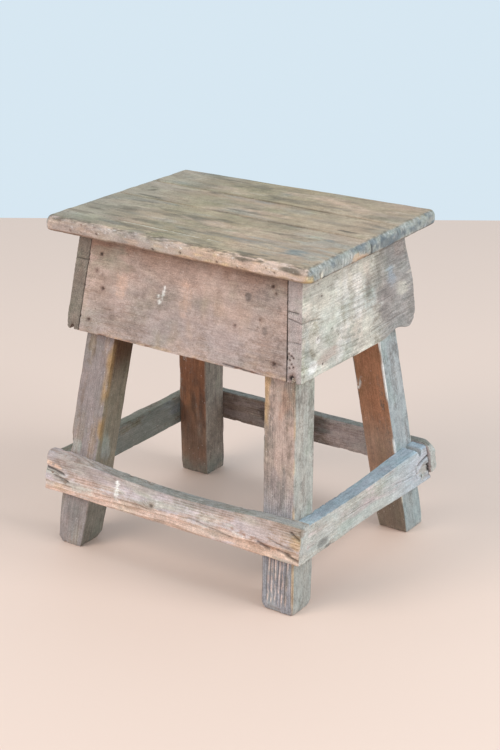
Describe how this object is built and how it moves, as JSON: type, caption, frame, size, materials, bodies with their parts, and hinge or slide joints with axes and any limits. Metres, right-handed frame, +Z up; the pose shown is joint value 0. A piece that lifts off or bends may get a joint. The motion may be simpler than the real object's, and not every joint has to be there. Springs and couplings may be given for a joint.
{
  "type": "step stool",
  "caption": "Splay-legged wooden step stool with a boarded seat, an apron box and low stretchers, in worn old paint.",
  "frame": {"origin": "on the ground, under the middle of the stool", "axes": "+Z up, +X along the long side of the seat, -Y towards the front"},
  "size_m": [0.4135, 0.3419, 0.45],
  "materials": {
    "weathered_seat": "weathered softwood with worn olive stain, matt",
    "painted_apron": "worn lilac-grey paint over brown softwood, matt",
    "painted_side": "thin worn pale green-grey paint over raised grain, matt",
    "stained_leg": "worn grey and blue-green paint over brown softwood, matt",
    "worn_stretcher": "scuffed lilac and teal paint, rubbed to bare wood along the edges",
    "iron_nail": "rusted dark iron, matt"
  },
  "bodies": {
    "root": {"top_board_front": "weathered_seat", "top_board_middle": "weathered_seat", "top_board_back": "weathered_seat", "front_apron": "painted_apron", "back_apron": "painted_apron", "left_apron": "painted_side", "right_apron": "painted_side", "leg_front_left": "stained_leg", "leg_front_right": "stained_leg", "leg_back_left": "stained_leg", "leg_back_right": "stained_leg", "front_stretcher": "worn_stretcher", "back_stretcher": "worn_stretcher", "left_stretcher": "worn_stretcher", "right_stretcher": "worn_stretcher", "front_board_nails": "iron_nail", "middle_board_nails": "iron_nail", "back_board_nails": "iron_nail", "front_apron_nails": "iron_nail", "back_apron_nails": "iron_nail", "left_apron_nails": "iron_nail", "right_apron_nails": "iron_nail", "front_stretcher_nails": "iron_nail", "back_stretcher_nails": "iron_nail", "left_stretcher_nails": "iron_nail", "right_stretcher_nails": "iron_nail"}
  },
  "joints": []
}
